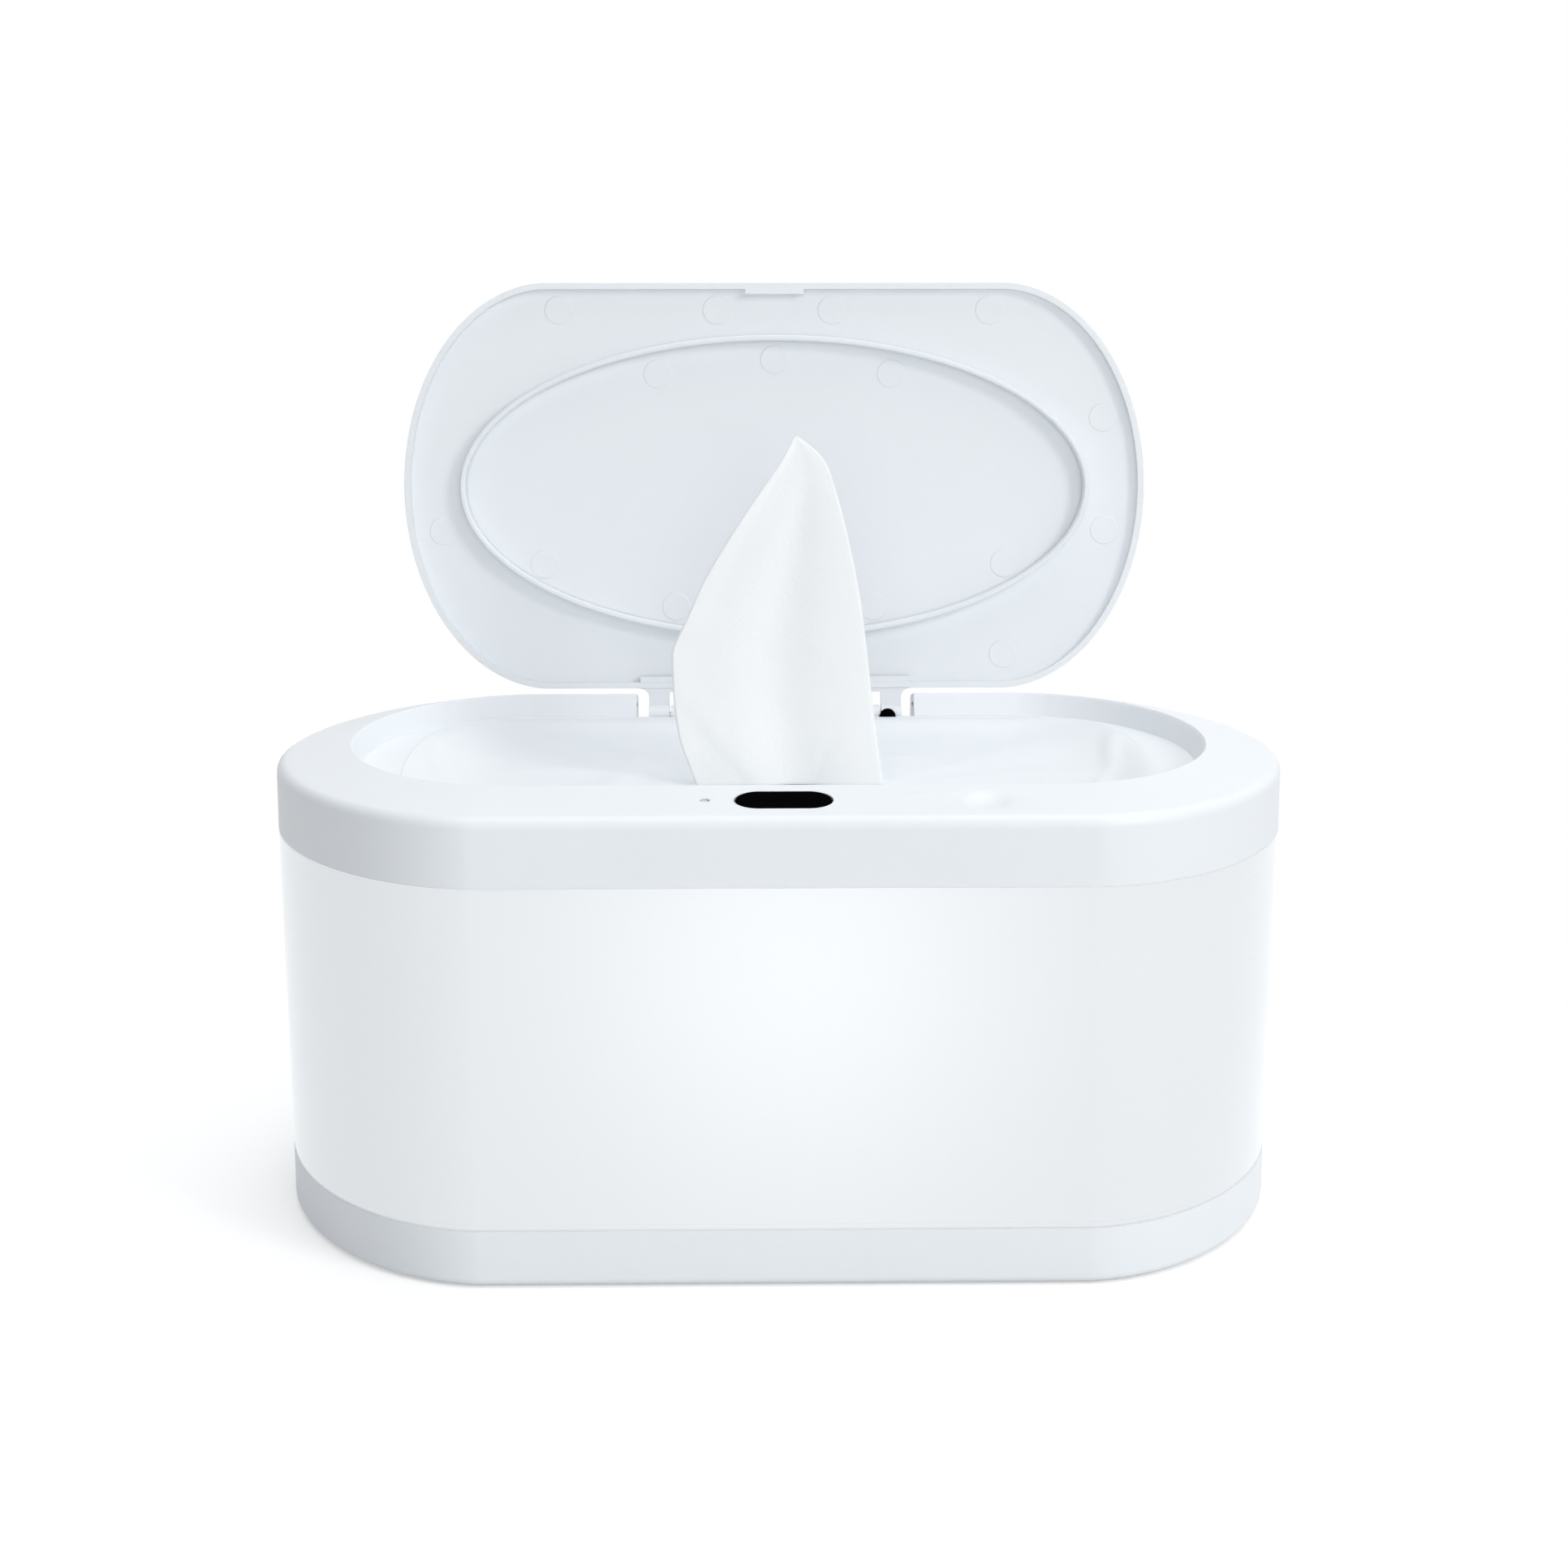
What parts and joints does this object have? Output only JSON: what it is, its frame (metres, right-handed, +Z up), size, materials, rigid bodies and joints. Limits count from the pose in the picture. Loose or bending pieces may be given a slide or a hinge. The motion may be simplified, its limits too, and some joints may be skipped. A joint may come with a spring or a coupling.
{
  "type": "baby wipe warmer",
  "caption": "Oval lit box that warms a stack of baby wipes, with a sprung flip-up lid, a sunken recess, a push button on the front deck and one wipe pulled up.",
  "frame": {"origin": "middle of the footprint, on the surface that the feet stand on", "axes": "+X along the length to the right as seen from the front, +Y to the hinge side, +Z up"},
  "size_m": [0.2498, 0.161, 0.2248],
  "materials": {
    "housing_plastic": "fine satin moulding",
    "shell_plastic": "milky, lit from inside",
    "lid_plastic": "satin moulding",
    "tub_plastic": "satin moulding",
    "black_plastic": "polished",
    "foot_rubber": "matt",
    "clear_plastic": "clear",
    "steel": "drawn wire",
    "plate_aluminium": "rolled sheet",
    "heater_film": "film",
    "insulation": "felt",
    "circuit_board": "lacquered",
    "lamp": "moulded lens",
    "wipes": "moist folded cloth",
    "wipe_cloth": "soft nonwoven"
  },
  "bodies": {
    "warmer": {"base": "housing_plastic", "base_foot_1": "foot_rubber", "base_foot_2": "foot_rubber", "base_foot_3": "foot_rubber", "base_foot_4": "foot_rubber", "base_screw_1": "steel", "base_screw_2": "steel", "base_screw_3": "steel", "base_screw_4": "steel", "lamp_shell": "shell_plastic", "top_housing": "housing_plastic", "wipe_tub": "tub_plastic", "heater_plate": "plate_aluminium", "heater_film": "heater_film", "insulation_pad": "insulation", "thermostat": "steel", "thermal_fuse": "steel", "control_board": "circuit_board", "night_light_board": "circuit_board", "night_light_led_1": "lamp", "night_light_led_2": "lamp", "night_light_led_3": "lamp", "power_socket": "black_plastic", "indicator_light_pipe": "clear_plastic", "touch_pad": "foot_rubber", "catch_spring": "steel", "catch_tray": "housing_plastic", "hinge_pin": "steel", "hinge_spring": "steel", "wipes_pack": "wipes", "pulled_wipe": "wipe_cloth"},
    "lid": {"lid": "lid_plastic", "lid_seal": "lid_plastic", "lid_stud": "black_plastic"},
    "button": {"release_button": "black_plastic"},
    "catch": {"catch_slide": "housing_plastic"}
  },
  "joints": [
    {"name": "lid_hinge", "type": "hinge", "parent": "warmer", "child": "lid", "pos_m": [0, 0.06535, 0.1088], "axis": [1, 0, 0], "range_deg": [0, 94.6], "stiffness_Nm_per_rad": 0.03, "deforming": ["pulled_wipe"]},
    {"name": "button_press", "type": "slide", "parent": "warmer", "child": "button", "axis": [0, 0.1425, -0.9898], "range_m": [0, 0.0015], "stiffness_N_per_m": 600},
    {"name": "catch_draw", "type": "slide", "parent": "warmer", "child": "catch", "axis": [0, -1, 0], "range_m": [0, 0.0015], "deforming": ["catch_spring"]}
  ],
  "couplings": [
    {"joint": "catch_draw", "follows": "button_press", "ratio": 1}
  ]
}
